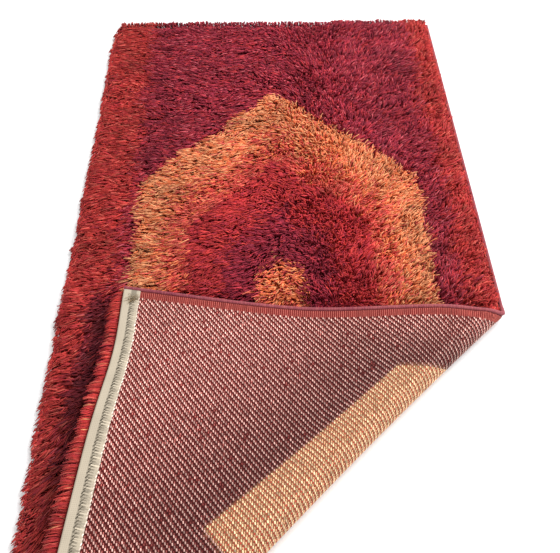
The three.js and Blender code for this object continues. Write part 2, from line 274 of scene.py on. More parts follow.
# How a strand stands: where its bend and its tip are, as shares of its reach outward and of its rise, and
# how far each is drawn to its clump's centre, of which the rims keep a share
OPEN = {"bend": {"out": 0.4, "rise": 0.8}, "tip": {"out": 1.0, "rise": 1.0}}
DROOPING = {"bend": {"out": 0.52, "rise": 0.78}, "tip": {"out": 0.88, "rise": 0.3}}
HANGING = {"bend": {"out": 0.7, "rise": 0.3}, "tip": {"out": 1.15, "rise": 0.95}}
GATHERED = {"bend": 0.45, "tip": 0.65}
RIMS_GATHERED = 0.4

# How much the pile's height is pressed: under the turned layer and a little beside it, in the dip, on the
# turned layer, more so in the bend, and along the rims
PRESSED = {"covered": 0.62, "dip": 0.3, "turned": 0.2, "bend": 0.35, "rims": 0.38}
COVER_FADES = (-38 * MM, -6 * MM)

# How light the pile is, in painted shade and light: painted shade at the sides and at the near end, a
# painted shadow of the turned layer in the dip, which lessens to the near, and painted light on the turned
# layer from the end's middle to its tip. Each changes between two places
SIDE_PAINTED_SHADE = {"less": 0.2, "between": (0.05, 0.3)}
NEAR_PAINTED_SHADE = {"less": 0.14, "between": (0.1, 0.5)}
DIP_PAINTED_SHADOW = {"less": (0.62, 0.2), "between": (0.25, 0.5)}
TURNED_PAINTED_LIGHT = {"level": (0.92, 1.4), "between": (0.0, 0.3)}
SHADE_LIMITS = (0.25, 1.7)

# A few gold strands stray into the near rim
STRAYS = {"share": 0.02, "depth": 12 * MM}

# The free pile's pieces, from their near end to their far end
PILE_ZONES = {
    "pile_near": (-1.0, 0.0),
    "pile_middle": (0.0, 0.23),
    "pile_upper": (0.23, 0.46),
    "pile_far": (0.46, 1.0),
}

# A ridge, for knots, ribs and stitches: four corners and two ridge ends, each as shares of its half length,
# its half width and its height
RIDGE_POINTS = ((-1, -1, 0), (1, -1, 0), (1, 1, 0), (-1, 1, 0), (-0.5, 0, 1), (0.5, 0, 1))
RIDGE_LOOPS = [0, 1, 5, 4, 2, 3, 4, 5, 1, 2, 5, 3, 0, 4]
RIDGE_SIZES = [4, 4, 3, 3]

# The woven back's knots: a pale one, a bright one and a dark one in turn, with a few bright ones out of
# turn. Knots and ribs start a little way inside the ground, at its woven level
KNOT_PITCH = 3.05 * MM
KNOTS = [
    {"half_length": 1.95 * MM, "half_width": 1.15 * MM, "height": 1.1 * MM},
    {"half_length": 1.5 * MM, "half_width": 0.85 * MM, "height": 0.9 * MM},
    {"half_length": 1.2 * MM, "half_width": 0.85 * MM, "height": 0.9 * MM},
]
KNOT_TURN = math.radians(-14)
KNOT_JITTER = 0.2 * MM
KNOTS_OUT_OF_TURN = 0.02
KNOTS_PAST_FOLD = 7 * MM
WOVEN_LEVEL = 0.3 * MM

# The back's tones, each next to the medallion and out in the field, and between which rings they change:
# the wool's level, the cream in a pale and in a bright knot, and the level of a dark knot and of the gaps.
# These last two are painted shade, very dark, for the shaded hollows between the raised knots
BACK_CHANGES = (1.0, 1.65)
BACK = {
    "wool": (0.38, 1.35),
    "pale": (0.4, 0.72),
    "bright": (0.06, 0.3),
    "dark": (0.06, 0.08),
    "gaps": (0.1, 0.2),
}

# How far the back's wool is drawn to red, how light a bright knot is, the medallion's own tones there, and
# how far knots differ from each other
BACK_RED = 0.9
BRIGHT_LEVEL = 0.84
# On the medallion a dark knot is red yarn, and the gaps between knots are gold in painted shade
MEDALLION_BACK = {"bright_gold": 0.6, "dark_red": 0.75, "gaps_gold": 0.26}
KNOT_TONES = {"spread": 0.24, "limits": (0.5, 1.5)}

# The ribs next to the overcasting: a pale one and a dark one in turn
SELVEDGE = 13 * MM
RIB_PITCH = 1.5 * MM
RIBS = [
    {"half_width": 0.36 * RIB_PITCH, "height": 1.1 * MM},
    {"half_width": 0.62 * RIB_PITCH, "height": 0.9 * MM},
]
RIB_TONES = {"cream": 0.1, "pale_level": 0.8, "dark_level": 0.34, "spread": 0.12}
RIBS_BEFORE_FOLD = 16 * MM

# The overcast rolls: their gap to the cloth, how much shorter they are, how far the turned part is raised,
# their sides and steps, the length of a wrap, and how deep and slanted the grooves between wraps are, with
# the painted shade in the grooves and painted light on the crests
ROLL_GAP = 0.2 * MM
ROLL_SHORTER = 0.3 * MM
ROLL_RAISED = 1.4 * MM
ROLL_SIDES = 9
WRAP_STEPS = 4
WRAPS = {"left": 5 * MM, "right": 2.4 * MM}
GROOVE_DEPTH = 0.17
GROOVE_SLANT = 0.3
# Painted shade in the grooves and painted light on the wraps' crests
GROOVE_PAINTED_SHADE = {"times": 1.35, "less": 0.25}

# The cotton tape: its steps along and across, its gap to the pile's side, how far its turned part is raised
# and where that is reached, and its part under the stitches, as shares from its outer edge
TAPE_STEPS = {"near": 5 * MM, "far": 20 * MM}
TAPE_ROWS = 12
TAPE_GAP = 0.2 * MM
TAPE_RAISED = 0.9 * MM
TAPE_RAISED_BY = 0.5 * BEND_LENGTH
STITCHED_FROM = (0.42, 0.5)
STITCHED_TO = (0.74, 0.82)
STITCHED_TAUPE = 0.6

# Overlock stitches along the tape's inner edge, in rows: each has its pitch, its depth into the tape, its
# stitches' half length, half width and turn, and its yarn
STITCH_ROWS = [
    {"pitch": 3.6 * MM, "depth": 19.5 * MM, "long": 6.2 * MM, "wide": 1 * MM, "turn": 98, "yarn": "thread"},
    {"pitch": 5.2 * MM, "depth": 14.5 * MM, "long": 3.8 * MM, "wide": 0.9 * MM, "turn": 42, "yarn": "taupe"},
    {"pitch": 5.2 * MM, "depth": 25.5 * MM, "long": 1.8 * MM, "wide": 0.8 * MM, "turn": 20, "yarn": "cream"},
]
STITCH_ENDS = (6 * MM, 10 * MM)
STITCH_HEIGHT = 0.9 * MM
STITCH_LEVEL = 0.1 * MM - TAPE_RAISED
STITCH_JITTER = {"along": 0.3 * MM, "across": 0.5 * MM}
STITCH_TONE_SPREAD = 0.2

# The thread's frayed end, in from the right edge and from the near end: its strands and their radius, how
# far their roots, bends and tips spread, how high they lie over the tape, its loose tails, and its tones
FRAY_PLACE = (16 * MM, 18 * MM)
FRAY_STRANDS = 26
FRAY_RADIUS = 0.36 * MM
FRAY_SPREAD = (4 * MM, 6 * MM, 5.5 * MM)
FRAY_SPREAD_LIMITS = (-1.4, 1.4)
FRAY_HEIGHTS = (0.4 * MM, 3.4 * MM)
FRAY_TAILS = ((-7 * MM, -15 * MM), (-2 * MM, -14 * MM), (-11 * MM, -8 * MM))
TAIL_BEND = 0.55
TAIL_STRAYS = 1.2 * MM
FRAY_TONES = (0.5, 1.6)


def smoothstep(value, low, high):
    part = np.clip((value - low) / (high - low), 0, 1)
    return part * part * (3 - 2 * part)


def mix(a, b, part):
    return a + (b - a) * part


def linear(colour):
    """An sRGB colour as linear light."""
    colour = np.asarray(colour, float)
    return np.where(colour < 0.04045, colour / 12.92, ((colour + 0.055) / 1.055) ** 2.4)


LINEAR = {name: linear(colour) for name, colour in YARNS.items()}
YARN_TABLE = np.array(list(LINEAR.values()))


def drift(name, x, y):
    """Smooth noise with lumps about one cell wide, up to its amount to either side of zero."""
    row = DRIFTS[name]
    table = np.random.default_rng(row["seed"]).uniform(-1, 1, (NOISE_CELLS, NOISE_CELLS))
    gx, gy = x / row["cell"], y / row["cell"]
    ix, iy = np.floor(gx).astype(int), np.floor(gy).astype(int)
    fx, fy = smoothstep(gx - ix, 0, 1), smoothstep(gy - iy, 0, 1)

    def corner(i, j):
        return table[(ix + i) % NOISE_CELLS, (iy + j) % NOISE_CELLS]

    near = mix(corner(0, 0), corner(1, 0), fx)
    far = mix(corner(0, 1), corner(1, 1), fx)
    return row["amount"] * mix(near, far, fy)


def clump_draw(name, cell_x, cell_y):
    """One number for each clump, up to its amount to either side of zero."""
    row = CLUMP_DRAWS[name]
    table = np.random.default_rng(row["seed"]).uniform(-1, 1, CLUMP_TABLE)
    return row["amount"] * table[(cell_x * CLUMP_STRIDES[0] + cell_y * CLUMP_STRIDES[1]) % CLUMP_TABLE]


def column(rows, name, kinds):
    """A table's column, looked up for each kind."""
    return np.array([row[name] for row in rows])[kinds]


# The fold

def fold_place(x, y):
    """How far a flat point is past the fold's axis, and its place along it."""
    dx, dy = x - HALF_WIDTH, y - FOLD_START
    return dx * TO_CORNER[0] + dy * TO_CORNER[1], dx * ALONG_FOLD[0] + dy * ALONG_FOLD[1]


def edge_share(y):
    """How far along the turned right edge a point lies, from the fold at 0 to the near end at 1."""
    return np.clip((FOLD_START - y) / (FOLD_START + HALF_LENGTH), 0, 1)


def lift_at(y):
    """How much higher the turned layer lies than the bend leaves it."""
    share = edge_share(y)
    total = np.full_like(share, LIFTS["lift"][0])
    for i in range(1, len(LIFTS["share"])):
        step = smoothstep(share, LIFTS["share"][i - 1], LIFTS["share"][i])
        total = total + (LIFTS["lift"][i] - LIFTS["lift"][i - 1]) * step
    return total


def folded(x, y, w):
    """Points of the flat rug, where they lie in the folded one."""
    turned = smoothstep(fold_place(x, y)[0], BEND_LENGTH, BEND_LENGTH + LIFT_REACH)
    from_tip = (HALF_WIDTH - x - WAVE["from_tip"]) / WAVE["width"]
    y = y + WAVE["shift"] * turned * np.exp(-from_tip * from_tip - (y + HALF_LENGTH) / WAVE["depth"])
    past, along = fold_place(x, y)
    angle = np.clip(past / BEND_LENGTH, 0, 1) * math.pi
    radius = FOLD_RADIUS - w
    press = CREASE_PRESS * np.sin(math.pi * np.clip(along / CREASE_LENGTH, 0, 1))
    around = radius * np.sin(angle) * (1 - press)
    out = np.where(past < 0, past, np.where(past < BEND_LENGTH, around, BEND_LENGTH - past))
    up = FOLD_RADIUS - radius * np.cos(angle)
    free = smoothstep(past - BEND_LENGTH, 0, LIFT_REACH)
    bow = BOW * np.sin(math.pi * edge_share(y)) * np.exp(-(((HALF_WIDTH - x) / BOW_REACH) ** 2))
    return np.stack(
        [
            HALF_WIDTH + out * TO_CORNER[0] + along * ALONG_FOLD[0],
            FOLD_START + out * TO_CORNER[1] + along * ALONG_FOLD[1] - free * bow,
            up + free * lift_at(y),
        ],
        axis=-1,
    )


def inside_rim(x, y):
    """How far in from the rug's nearest rim a flat point lies."""
    return np.minimum(HALF_WIDTH - np.abs(x), HALF_LENGTH - np.abs(y))


def place_above(x, y):
    """How far a flat point is past the fold's axis, and the flat place that the fold lays over it."""
    past, along = fold_place(x, y)
    over = BEND_LENGTH - past
    over_x = HALF_WIDTH + over * TO_CORNER[0] + along * ALONG_FOLD[0]
    over_y = FOLD_START + over * TO_CORNER[1] + along * ALONG_FOLD[1]
    return past, over_x, over_y


def cover_margin(x, y):
    """How far inside the turned layer's rim a lower point lies, less than zero where it is free."""
    past, over_x, over_y = place_above(x, y)
    return np.where(past < 0, inside_rim(over_x, over_y), -1.0)


def dip_at(x, y):
    """How much a point of the lower layer lies in the dip beside the turned end, from 0 to 1."""
    past, over_x, over_y = place_above(x, y)
    gap = -HALF_LENGTH - over_y
    dip = smoothstep(gap, *DIP_DEEPENS) * (1 - smoothstep(gap, *DIP_ENDS))
    return dip * (past < 0) * smoothstep(HALF_WIDTH - over_x, *DIP_PAST_TIP)


# The colours

def pick_yarns(yarns, draw):
    """An index into YARN_NAMES for each draw between 0 and 1, in the given shares."""
    names, shares = zip(*yarns.items())
    chosen = np.searchsorted(np.cumsum(shares) / sum(shares), draw, side="right")
    return np.array([YARN_NAMES.index(name) for name in names])[np.minimum(chosen, len(names) - 1)]


def ring_at(x, y):
    """How far out in the medallion a point lies: 0 at its centre and 1 at its outline."""
    off = np.abs(y - MEDALLION_CENTRE)
    return np.maximum(np.abs(x) / MEDALLION_HALF_WIDTH, (off + np.abs(x)) / MEDALLION_HALF_LENGTH)


def halo_at(x, y, stir):
    """How much plum there is in the field, about 1 round the medallion and 0 at the long edges."""
    off = np.where(x > 0, x - HALO["right"], -x + HALO["left"] * smoothstep(-y, *HALO["left_draws_in"]))
    slanted = y - HALO["slant"] * np.clip(x, -1, 0) / HALF_WIDTH
    halo = (1 - smoothstep(off, *HALO["fades"])) * smoothstep(slanted, *HALO["near_end"])
    halo = halo + HALO["stir"] * stir + drift("halo", x, y)
    # More plum in the dip, part of the painted shadow beside the turned end
    return halo + HALO["dip"] * dip_at(x, y) * (1 - smoothstep(-y, *HALO["dip_fades"]))


def yarn_at(x, y, rng):
    """The yarn of each knot: a nested medallion on a plum field that turns red at the long edges."""
    draw = rng.uniform(size=x.shape)
    stir = rng.normal(size=x.shape)
    halo = halo_at(x, y, stir)
    yarn = pick_yarns(FIELD[-1]["yarns"], draw)
    for row in reversed(FIELD[:-1]):
        yarn = np.where(halo > row["halo"], pick_yarns(row["yarns"], draw), yarn)
    ring = ring_at(x, y)
    stray = stir + drift("rings", x, y)
    for row in reversed(RINGS):
        yarn = np.where(ring + row["blend"] * stray < row["edge"], pick_yarns(row["yarns"], draw), yarn)
    return yarn


# Materials

def new_material(name, roughness, sheen=0.0):
    material = bpy.data.materials.new(name)
    material.use_nodes = True
    shader = material.node_tree.nodes["Principled BSDF"]
    shader.inputs["Roughness"].default_value = roughness
    shader.inputs["Specular IOR Level"].default_value = SPECULAR
    shader.inputs["Sheen Weight"].default_value = sheen
    shader.inputs["Sheen Roughness"].default_value = SHEEN_ROUGHNESS
    return material, material.node_tree, shader


def tint_colour(tree, shader, colour, level):
    """Feeds a colour to the shader, made lighter and darker by a level."""
    tint = tree.nodes.new("ShaderNodeVectorMath")
    tint.operation = "SCALE"
    tree.links.new(colour, tint.inputs[0])
    tree.links.new(level.outputs["Result"], tint.inputs["Scale"])
    tree.links.new(tint.outputs["Vector"], shader.inputs["Base Color"])


def yarn_material(name, roughness, sheen, fleck_size, fleck, relief):
    """Yarn that takes each point's own colour, with flecks of lighter and darker fibre and a fine relief."""
    material, tree, shader = new_material(name, roughness, sheen)
    yarn = tree.nodes.new("ShaderNodeVertexColor")
    yarn.layer_name = "yarn"
    place = tree.nodes.new("ShaderNodeTexCoord")
    noise = tree.nodes.new("ShaderNodeTexNoise")
    noise.inputs["Scale"].default_value = 1 / fleck_size
    noise.inputs["Detail"].default_value = FLECK_DETAIL
    tree.links.new(place.outputs["Object"], noise.inputs["Vector"])
    level = tree.nodes.new("ShaderNodeMapRange")
    level.inputs["From Min"].default_value = FLECK_RANGE[0]
    level.inputs["From Max"].default_value = FLECK_RANGE[1]
    level.inputs["To Min"].default_value = 1 - fleck
    level.inputs["To Max"].default_value = 1 + fleck
    tree.links.new(noise.outputs["Fac"], level.inputs["Value"])
    tint_colour(tree, shader, yarn.outputs["Color"], level)
    bump = tree.nodes.new("ShaderNodeBump")
    bump.inputs["Strength"].default_value = relief
    bump.inputs["Distance"].default_value = RELIEF_DEPTH
    tree.links.new(noise.outputs["Fac"], bump.inputs["Height"])
    tree.links.new(bump.outputs["Normal"], shader.inputs["Normal"])
    return material


def add_weave(material):
    """Paints shade into the small gaps between a plain weave's threads, at their pitch on the flat cloth."""
    tree = material.node_tree
    shader = tree.nodes["Principled BSDF"]
    flat = tree.nodes.new("ShaderNodeAttribute")
    flat.attribute_name = "flat"
    gaps = tree.nodes.new("ShaderNodeMath")
    gaps.operation = "MULTIPLY"
    for i, axis in enumerate("XY"):
        wave = tree.nodes.new("ShaderNodeTexWave")
        wave.bands_direction = axis
        wave.inputs["Scale"].default_value = 2 * math.pi / (WAVE_RADIANS * WEAVE_PITCH)
        tree.links.new(flat.outputs["Vector"], wave.inputs["Vector"])
        tree.links.new(wave.outputs["Fac"], gaps.inputs[i])
    level = tree.nodes.new("ShaderNodeMapRange")
    level.inputs["From Min"].default_value = WEAVE_GAP_START
    level.inputs["To Min"].default_value = 1
    level.inputs["To Max"].default_value = WEAVE_PAINTED_SHADE
    tree.links.new(gaps.outputs["Value"], level.inputs["Value"])
    tint_colour(tree, shader, shader.inputs["Base Color"].links[0].from_socket, level)


MATERIALS = {name: yarn_material(name, **row) for name, row in MATERIAL_ROWS.items()}
add_weave(MATERIALS["woven_cotton"])


# Meshes from arrays

def mesh_piece(name, points, loops, sizes, colours, material, flat=None):
    """An object from polygons given as one run of corner numbers, with a colour for each point and,
    where a weave needs it, each point's place on the flat rug."""
    mesh = bpy.data.meshes.new(name)
    mesh.vertices.add(len(points))
    mesh.vertices.foreach_set("co", np.asarray(points, np.float32).ravel())
    mesh.loops.add(len(loops))
    mesh.loops.foreach_set("vertex_index", np.asarray(loops, np.int32))
    mesh.polygons.add(len(sizes))
    starts = np.concatenate([[0], np.cumsum(sizes)[:-1]]).astype(np.int32)
    mesh.polygons.foreach_set("loop_start", starts)
    mesh.polygons.foreach_set("use_smooth", np.full(len(sizes), True))
    mesh.update(calc_edges=True)
    yarn = mesh.color_attributes.new("yarn", "FLOAT_COLOR", "POINT")
    rgba = np.ones((len(points), 4), np.float32)
    rgba[:, :3] = colours
    yarn.data.foreach_set("color", rgba.ravel())
    if flat is not None:
        place = mesh.attributes.new("flat", "FLOAT_VECTOR", "POINT")
        place.data.foreach_set("vector", np.asarray(flat, np.float32).ravel())
    mesh.validate()
    mesh.materials.append(MATERIALS[material])
    piece = bpy.data.objects.new(name, mesh)
    bpy.context.scene.collection.objects.link(piece)
    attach(piece, "root")
    return piece


def repeated(pattern, sizes, corners, count):
    """The loops and sizes of count copies of a small shape that has that many corners."""
    offsets = corners * np.arange(count)[:, None]
    return (np.asarray(pattern)[None] + offsets).ravel(), np.tile(sizes, count)


def sheet_quads(across, along):
    """The faces of a closed sheet: a grid of that many points, a second one over it, and their rim."""
    index = np.arange(across * along).reshape(across, along)
    a, b, c, d = index[:-1, :-1], index[1:, :-1], index[1:, 1:], index[:-1, 1:]
    under = np.stack([a, d, c, b], -1).reshape(-1, 4)
    over = np.stack([a, b, c, d], -1).reshape(-1, 4) + index.size
    rim = np.concatenate([index[:-1, 0], index[-1, :-1], index[::-1, -1][:-1], index[0, ::-1][:-1]])
    after = np.roll(rim, -1)
    wall = np.stack([rim, after, after + index.size, rim + index.size], -1)
    return np.concatenate([under, over, wall])


def strand_piece(name, spine, radius, colour, rng, material):
    """Three-sided strands, from the flat places (x, y, w) of each one's root, bend and tip."""
    root, bend, tip = spine
    count = len(root)
    side = tip[:, :2] - root[:, :2]
    side = side / np.maximum(np.linalg.norm(side, axis=1, keepdims=True), SHORTEST_REACH)
    across = np.stack([-side[:, 1], side[:, 0], np.zeros(count)], 1)
    along = tip - bend
    along = along / np.linalg.norm(along, axis=1, keepdims=True)
    over = np.cross(along, across)
    turn = rng.uniform(0, 2 * math.pi, count)
    points = [root]
    for centre, thickness in ((bend, 1.0), (tip, TIP_THICKNESS)):
        for corner in range(STRAND_SIDES):
            angle = turn + corner * 2 * math.pi / STRAND_SIDES
            offset = np.cos(angle)[:, None] * across + np.sin(angle)[:, None] * over
            points.append(centre + offset * (radius * thickness)[:, None])
    loops, sizes = repeated(STRAND_LOOPS, STRAND_SIZES, len(points), count)
    points = np.stack(points, 1).reshape(-1, 3)
    # Each point's colour takes its painted shade, darker at the root and lighter at the tip
    colours = (colour[:, None, :] * np.array(STRAND_PAINTED_SHADE)[None, :, None]).reshape(-1, 3)
    return mesh_piece(name, folded(*points.T), loops, sizes, colours, material)


def ridge_points(x, y, half_length, half_width, level, height, turn):
    """The points of each ridge on the flat rug, raised off the back from a level there. The turn is
    that of its long side."""
    way = (np.cos(turn), np.sin(turn))
    off = (-way[1], way[0])
    points = []
    for along, across, raised in RIDGE_POINTS:
        px = x + along * half_length * way[0] + across * half_width * off[0]
        py = y + along * half_length * way[1] + across * half_width * off[1]
        points.append(np.stack([px, py, level - raised * height + 0 * x], -1))
    return np.stack(points, 1).reshape(-1, 3)


def ridge_piece(name, points, tones, material):
    """Ridges as one object, with a colour for each."""
    corners = len(RIDGE_POINTS)
    loops, sizes = repeated(RIDGE_LOOPS, RIDGE_SIZES, corners, len(tones))
    return mesh_piece(name, folded(*points.T), loops, sizes, np.repeat(tones, corners, 0), material)


# Camera, light and floor

def add_camera():
    pitch, yaw, roll = CAMERA_PITCH, CAMERA_YAW, CAMERA_ROLL
    ahead = Vector((math.sin(yaw) * math.cos(pitch), math.cos(yaw) * math.cos(pitch), -math.sin(pitch)))
    level = Vector((math.cos(yaw), -math.sin(yaw), 0))
    above = level.cross(ahead)
    right = math.cos(roll) * level + math.sin(roll) * above
    top = -math.sin(roll) * level + math.cos(roll) * above
    camera = bpy.data.objects.new("camera", bpy.data.cameras.new("camera"))
    camera.data.lens = CAMERA_LENS
    camera.data.sensor_width = CAMERA_SENSOR
    turn = Matrix((right, top, -ahead)).transposed().to_4x4()
    camera.matrix_world = Matrix.Translation(CAMERA_PLACE) @ turn
    bpy.context.scene.collection.objects.link(camera)
    bpy.context.scene.camera = camera


def add_lamp(name, place, side, power):
    """A square lamp that points at the rug's middle."""
    light = bpy.data.lights.new(name, "AREA")
    light.size = side
    light.energy = power
    lamp = bpy.data.objects.new(name, light)
    lamp.location = place
    lamp.rotation_euler = (-Vector(place)).to_track_quat("-Z", "Y").to_euler()
    bpy.context.scene.collection.objects.link(lamp)


def add_studio():
    scene = bpy.context.scene
    scene.view_settings.view_transform = "Standard"
    scene.world = bpy.data.worlds.new("studio")
    scene.world.use_nodes = True
    sky = scene.world.node_tree.nodes["Background"]
    sky.inputs["Color"].default_value = SKY_COLOUR
    sky.inputs["Strength"].default_value = SKY_STRENGTH
    for name, lamp in LAMPS.items():
        add_lamp(name, **lamp)
    floor_mesh = bpy.data.meshes.new("floor")
    corners = [(FLOOR_REACH * x, FLOOR_REACH * y, 0) for x, y in ((-1, -1), (1, -1), (1, 1), (-1, 1))]
    floor_mesh.from_pydata(corners, [], [(0, 1, 2, 3)])
    floor = bpy.data.objects.new("floor", floor_mesh)
    floor.location.z = -FLOOR_DEPTH
    material, _, shader = new_material("pale_floor", FLOOR_ROUGHNESS)
    shader.inputs["Base Color"].default_value = FLOOR_COLOUR
    floor_mesh.materials.append(material)
    scene.collection.objects.link(floor)


# The woven ground: one closed sheet through the fold

def add_ground():
    xs = np.linspace(-HALF_WIDTH, HALF_WIDTH, round(2 * HALF_WIDTH / GROUND_STEP) + 1)
    ys = np.linspace(-HALF_LENGTH, HALF_LENGTH, round(2 * HALF_LENGTH / GROUND_STEP) + 1)
    x, y = (a.ravel() for a in np.meshgrid(xs, ys, indexing="ij"))
    under, over = (folded(x, y, np.full_like(x, w)) for w in (0, GROUND_THICKNESS))
    ring = ring_at(x, y)[:, None]
    # The back between the knots is painted shade: dark red, and dark gold on the medallion
    field = LINEAR["red"] * mix(*BACK["gaps"], smoothstep(ring, *BACK_CHANGES))
    back = np.where(ring < 1, LINEAR["gold"] * MEDALLION_BACK["gaps_gold"], field)
    # The pile side's yarns, lifted by painted light
    front = YARN_TABLE[yarn_at(x, y, np.random.default_rng(SEEDS["ground"]))] * PILE_SIDE_PAINTED_LIGHT
    quads = sheet_quads(len(xs), len(ys))
    colours = np.concatenate([back, front])
    points, sizes = np.concatenate([under, over]), np.full(len(quads), 4)
    return mesh_piece("woven_ground", points, quads.ravel(), sizes, colours, "ground_wool")


# The pile

def rim_shares(x, y):
    """How much a strand belongs to the left, right, near and far rims, from 0 to 1."""
    sides = (HALF_WIDTH - SIDE_RIM, HALF_WIDTH - FULL_RIM)
    ends = (HALF_LENGTH - END_RIM, HALF_LENGTH - FULL_RIM)
    return {
        "left": smoothstep(-x, *sides),
        "right": smoothstep(x, *sides),
        "near": smoothstep(-y, *ends),
        "far": smoothstep(y, *ends),
    }


def base_lean(x, y, rims):
    """The way the pile is trodden: left and near over most of the rug, right and far at its right."""
    right = smoothstep(x, *LEAN_TURNS_RIGHT)
    near = smoothstep(-y, *LEAN_TURNS_NEAR)
    across = mix(LEANS["most"]["across"], LEANS["right"]["across"], right)
    across = mix(across, LEANS["right_rim"]["across"], rims["right"])
    across = mix(across, LEANS["left_rim"]["across"], rims["left"])
    along = mix(LEANS["most"]["along"], LEANS["near"]["along"], near)
    along = mix(along, LEANS["right"]["along"], right)
    along = mix(along, LEANS["left_rim"]["along"], rims["left"])
    ends = np.maximum(rims["near"], rims["far"])
    at_ends = LEANS["far_rim"]["along"] * rims["far"] + LEANS["near_rim"]["along"] * rims["near"]
    return across * (1 - ENDS_STRAIGHTEN * ends), mix(along, at_ends, ends)


def pressed_share(x, y):
    """What is left of the pile's height where something presses it."""
    past, _ = fold_place(x, y)
    lower = 1 - PRESSED["covered"] * smoothstep(cover_margin(x, y), *COVER_FADES)
    lower = lower * (1 - PRESSED["dip"] * dip_at(x, y))
    in_bend = np.sin(math.pi * np.clip(past / BEND_LENGTH, 0, 1))
    return np.where(past > 0, 1 - PRESSED["turned"] - PRESSED["bend"] * in_bend, lower)


def pile_shape(x, y, rng):
    """The flat places of each strand's root, bend and tip, and the clump that it belongs to."""
    count = len(x)
    cell_x, cell_y = np.floor(x / CLUMP).astype(int), np.floor(y / CLUMP).astype(int)
    centre_x = (cell_x + 0.5 + clump_draw("centre_across", cell_x, cell_y)) * CLUMP
    centre_y = (cell_y + 0.5 + clump_draw("centre_along", cell_x, cell_y)) * CLUMP
    gather = np.stack([centre_x - x, centre_y - y], 1)
    rims = rim_shares(x, y)
    drooping = np.maximum(rims["left"], np.maximum(rims["near"], rims["far"]))
    at_rim = np.maximum(drooping, rims["right"])
    steady = 1 - RIMS_STEADY * at_rim
    across, along = base_lean(x, y, rims)
    across = across + steady * (drift("lean_across", x, y) + clump_draw("lean_across", cell_x, cell_y))
    along = along + steady * (drift("lean_along", x, y) + clump_draw("lean_along", cell_x, cell_y))
    stray = STRAND_SPREAD["lean"] * steady[:, None] * rng.normal(size=(count, 2))
    lean = np.stack([across, along], 1) + stray
    stray = STRAND_SPREAD["length"] * rng.normal(size=count)
    length = 1 + steady * (clump_draw("length", cell_x, cell_y) + stray)
    out = lean * (PILE_OUT * length)[:, None]
    rise = PILE_RISE * length * pressed_share(x, y)
    rise = rise * (1 + drift("rise_wide", x, y) + drift("rise_fine", x, y))
    rise = rise * (1 - PRESSED["rims"] * at_rim)
    hanging = np.where(fold_place(x, y)[0] > 0, drooping, 0)
    flat = np.stack([x, y], 1)
    sway = STRAND_SPREAD["sway"] * rng.normal(size=(count, 2))
    gather = gather * (RIMS_GATHERED + (1 - RIMS_GATHERED) * steady)[:, None]
    spine = [np.column_stack([flat, np.full(count, ROOT_HEIGHT)])]
    for joint, gathered in GATHERED.items():
        shares = {}
        for way in ("out", "rise"):
            free = mix(OPEN[joint][way], DROOPING[joint][way], drooping)
            shares[way] = mix(free, HANGING[joint][way], hanging)
        place = flat + shares["out"][:, None] * out + gathered * gather + sway
        spine.append(np.column_stack([place, ROOT_HEIGHT + shares["rise"] * rise]))
    return spine, cell_x, cell_y


def pile_colour(x, y, cell_x, cell_y, rng):
    """Each strand's colour, uneven from strand to strand and from clump to clump, with painted shade and
    light.
    """
    colour = YARN_TABLE[yarn_at(x, y, rng)]
    stray = (y < STRAYS["depth"] - HALF_LENGTH) & (rng.uniform(size=len(x)) < STRAYS["share"])
    colour = np.where(stray[:, None], LINEAR["gold"], colour)
    level = 1 + clump_draw("tone", cell_x, cell_y) + STRAND_SPREAD["tone"] * rng.normal(size=len(x))
    level = level + drift("tone_wide", x, y) + drift("tone_fine", x, y)
    # Painted shade: darker towards the sides and the near end
    level = level - SIDE_PAINTED_SHADE["less"] * smoothstep(np.abs(x), *SIDE_PAINTED_SHADE["between"])
    level = level - NEAR_PAINTED_SHADE["less"] * smoothstep(-y, *NEAR_PAINTED_SHADE["between"])
    # Painted shadow: the turned layer's shadow on the pile in the dip beside its end, weaker to the near
    dip_painted_shadow = mix(*DIP_PAINTED_SHADOW["less"], smoothstep(-y, *DIP_PAINTED_SHADOW["between"]))
    level = level * (1 - dip_painted_shadow * dip_at(x, y))
    # Painted light: the turned layer's strands lighter from the end's middle to its tip
    turned = mix(*TURNED_PAINTED_LIGHT["level"], smoothstep(x, *TURNED_PAINTED_LIGHT["between"]))
    level = level * np.where(fold_place(x, y)[0] > 0, turned, 1.0)
    return colour * np.clip(level, *SHADE_LIMITS)[:, None]


def strand_roots(rng):
    """Jittered places over the rug and extra ones along its fringed rims, less those out of sight."""
    nx, ny = round(2 * HALF_WIDTH / STRAND_PITCH), round(2 * HALF_LENGTH / STRAND_PITCH)
    gx, gy = (a.ravel() for a in np.meshgrid(np.arange(nx) + 0.5, np.arange(ny) + 0.5, indexing="ij"))
    x = (gx + ROOT_JITTER * rng.uniform(-1, 1, gx.shape)) * 2 * HALF_WIDTH / nx - HALF_WIDTH
    y = (gy + ROOT_JITTER * rng.uniform(-1, 1, gy.shape)) * 2 * HALF_LENGTH / ny - HALF_LENGTH
    sides, ends = RIM_STRANDS * ny, RIM_STRANDS * nx
    in_rim = rng.uniform(*RIM_ROOTS, sides + 2 * ends)
    side_y = rng.uniform(-HALF_LENGTH, HALF_LENGTH, sides)
    end_x = rng.uniform(-HALF_WIDTH, HALF_WIDTH, 2 * ends)
    end_y = np.repeat([-1, 1], ends) * (HALF_LENGTH - in_rim[sides:])
    x = np.concatenate([x, in_rim[:sides] - HALF_WIDTH, end_x])
    y = np.concatenate([y, side_y, end_y])
    past, _ = fold_place(x, y)
    keep_lower = (past < 0) & (cover_margin(x, y) < SEEN_UNDER)
    keep_turned = (past >= 0) & (inside_rim(x, y) < SEEN_TURNED)
    keep = keep_lower | keep_turned
    return x[keep], y[keep]


